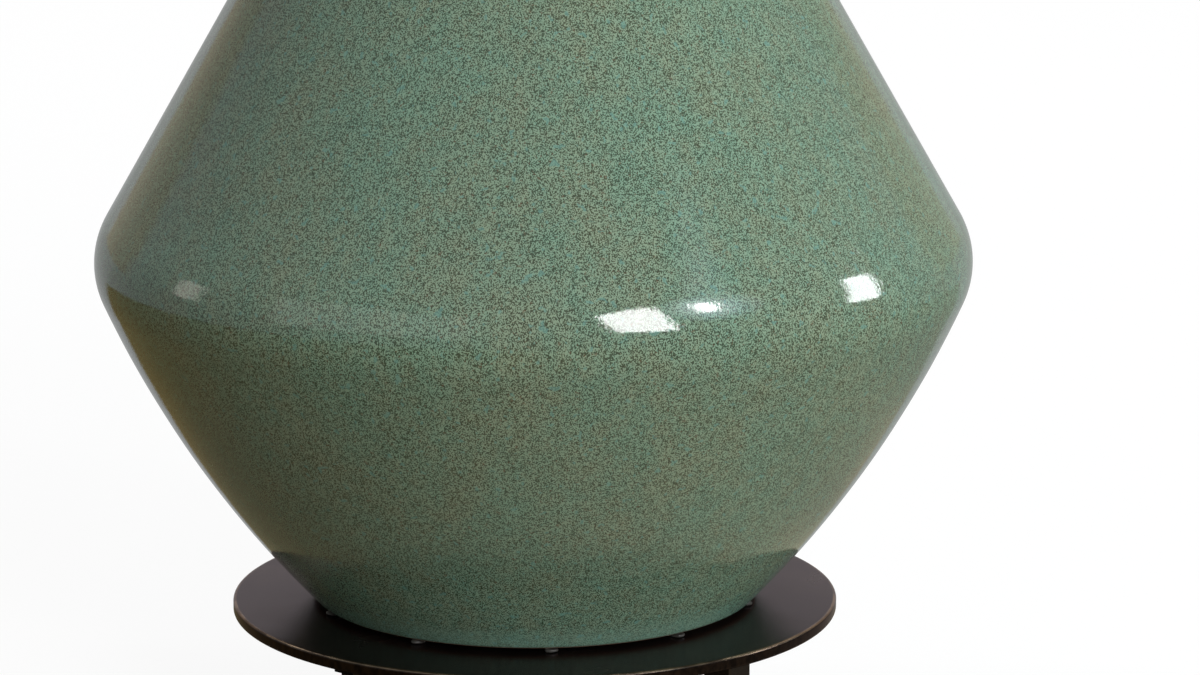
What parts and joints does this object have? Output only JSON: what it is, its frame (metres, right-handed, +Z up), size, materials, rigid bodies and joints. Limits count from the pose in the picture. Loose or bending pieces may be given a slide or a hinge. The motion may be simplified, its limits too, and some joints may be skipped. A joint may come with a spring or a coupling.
{
  "type": "table lamp",
  "caption": "Table lamp: glazed double-cone ceramic jar on a round bronze plate with four bar legs, with screw socket, harp and tapered linen shade.",
  "frame": {"origin": "on the table, at the foot of the lamp's axis, in the plane of the four foot pads", "axes": "+Z up along the lamp's axis; -Y is the front, where the switch knob points; the harp lies in the XZ plane"},
  "size_m": [0.4073, 0.4074, 0.7051],
  "materials": {
    "bronze": "dark oil-rubbed bronze, satin, lighter on worn arrises",
    "felt": "dense brown felt",
    "glaze": "glossy sage green glaze, finely mottled with dark flecks",
    "clear_silicone": "clear silicone, slightly cloudy",
    "black_rubber": "matt black rubber",
    "black_plastic": "moulded black plastic, satin",
    "zinc_steel": "zinc-plated steel",
    "antique_brass": "antique brass plate, satin",
    "contact_brass": "bright brass",
    "fibre": "pressed insulating fibre",
    "phenolic": "moulded phenolic, dark brown-black",
    "aluminium": "thin rolled aluminium",
    "black_glass": "black vitrite glass",
    "solder": "dull solder",
    "frosted_glass": "soft white frosted glass",
    "clear_glass": "clear glass",
    "filament_wire": "drawn wire",
    "linen": "natural off-white linen, slubbed plain weave",
    "white_liner": "matt white styrene lining"
  },
  "bodies": {
    "root": {"foot_pad_front_left": "felt", "foot_pad_front_right": "felt", "foot_pad_rear_left": "felt", "foot_pad_rear_right": "felt", "leg_front_left": "bronze", "leg_front_right": "bronze", "leg_rear_left": "bronze", "leg_rear_right": "bronze", "leg_welds": "bronze", "base_plate": "bronze", "jar_pads": "clear_silicone", "jar_body": "glaze", "centring_bush": "black_plastic", "threaded_pipe": "zinc_steel", "plate_washer": "zinc_steel", "plate_nut": "zinc_steel", "cord_gland": "black_plastic", "cap_gasket": "black_rubber", "vase_cap": "bronze", "neck_spool": "bronze", "check_ring": "bronze", "harp_saddle": "bronze", "socket_cap": "antique_brass", "socket_set_screw": "zinc_steel", "socket_shell": "antique_brass", "socket_liner": "fibre", "socket_body": "phenolic", "terminal_screws": "contact_brass", "screw_shell": "aluminium", "centre_contact": "contact_brass"},
    "switch": {"switch_stem": "zinc_steel", "switch_knob": "black_plastic"},
    "bulb": {"bulb_contact": "solder", "bulb_insulator": "black_glass", "bulb_cap": "aluminium", "bulb_glass": "frosted_glass", "bulb_stem": "clear_glass", "bulb_filament": "filament_wire"},
    "harp": {"harp_wire": "antique_brass", "harp_top_plate": "antique_brass", "harp_stud": "antique_brass"},
    "ferrule_left": {"harp_ferrule_left": "antique_brass"},
    "ferrule_right": {"harp_ferrule_right": "antique_brass"},
    "stud_washer": {"stud_washer": "antique_brass"},
    "shade": {"spider_hub": "antique_brass", "spider_arm_rear": "antique_brass", "spider_arm_left": "antique_brass", "spider_arm_right": "antique_brass", "shade_top_ring": "antique_brass", "shade_bottom_ring": "antique_brass", "shade_liner": "white_liner", "shade_fabric": "linen", "shade_trim_top": "linen", "shade_trim_bottom": "linen"},
    "finial": {"finial_base": "bronze", "finial_ball": "bronze"}
  },
  "joints": [
    {"name": "knob_turn", "type": "hinge", "parent": "root", "child": "switch", "pos_m": [0, -0.02, 0.4443], "axis": [0, -1, 0], "continuous": true},
    {"name": "bulb_lift", "type": "slide", "parent": "root", "child": "bulb", "axis": [0, 0, 1], "range_m": [0, 0.032]},
    {"name": "harp_lift", "type": "slide", "parent": "root", "child": "harp", "axis": [0, 0, 1], "range_m": [0, 0.025]},
    {"name": "ferrule_left_lift", "type": "slide", "parent": "harp", "child": "ferrule_left", "axis": [0, 0, 1], "range_m": [0, 0.0125]},
    {"name": "ferrule_right_lift", "type": "slide", "parent": "harp", "child": "ferrule_right", "axis": [0, 0, 1], "range_m": [0, 0.0125]},
    {"name": "shade_lift", "type": "slide", "parent": "harp", "child": "stud_washer", "axis": [0, 0, 1], "range_m": [0, 0.02]},
    {"name": "shade_turn", "type": "hinge", "parent": "stud_washer", "child": "shade", "pos_m": [0, 0, 0.6653], "axis": [0, 0, 1], "continuous": true},
    {"name": "finial_lift", "type": "slide", "parent": "shade", "child": "finial", "axis": [0, 0, 1], "range_m": [0, 0.016]}
  ]
}
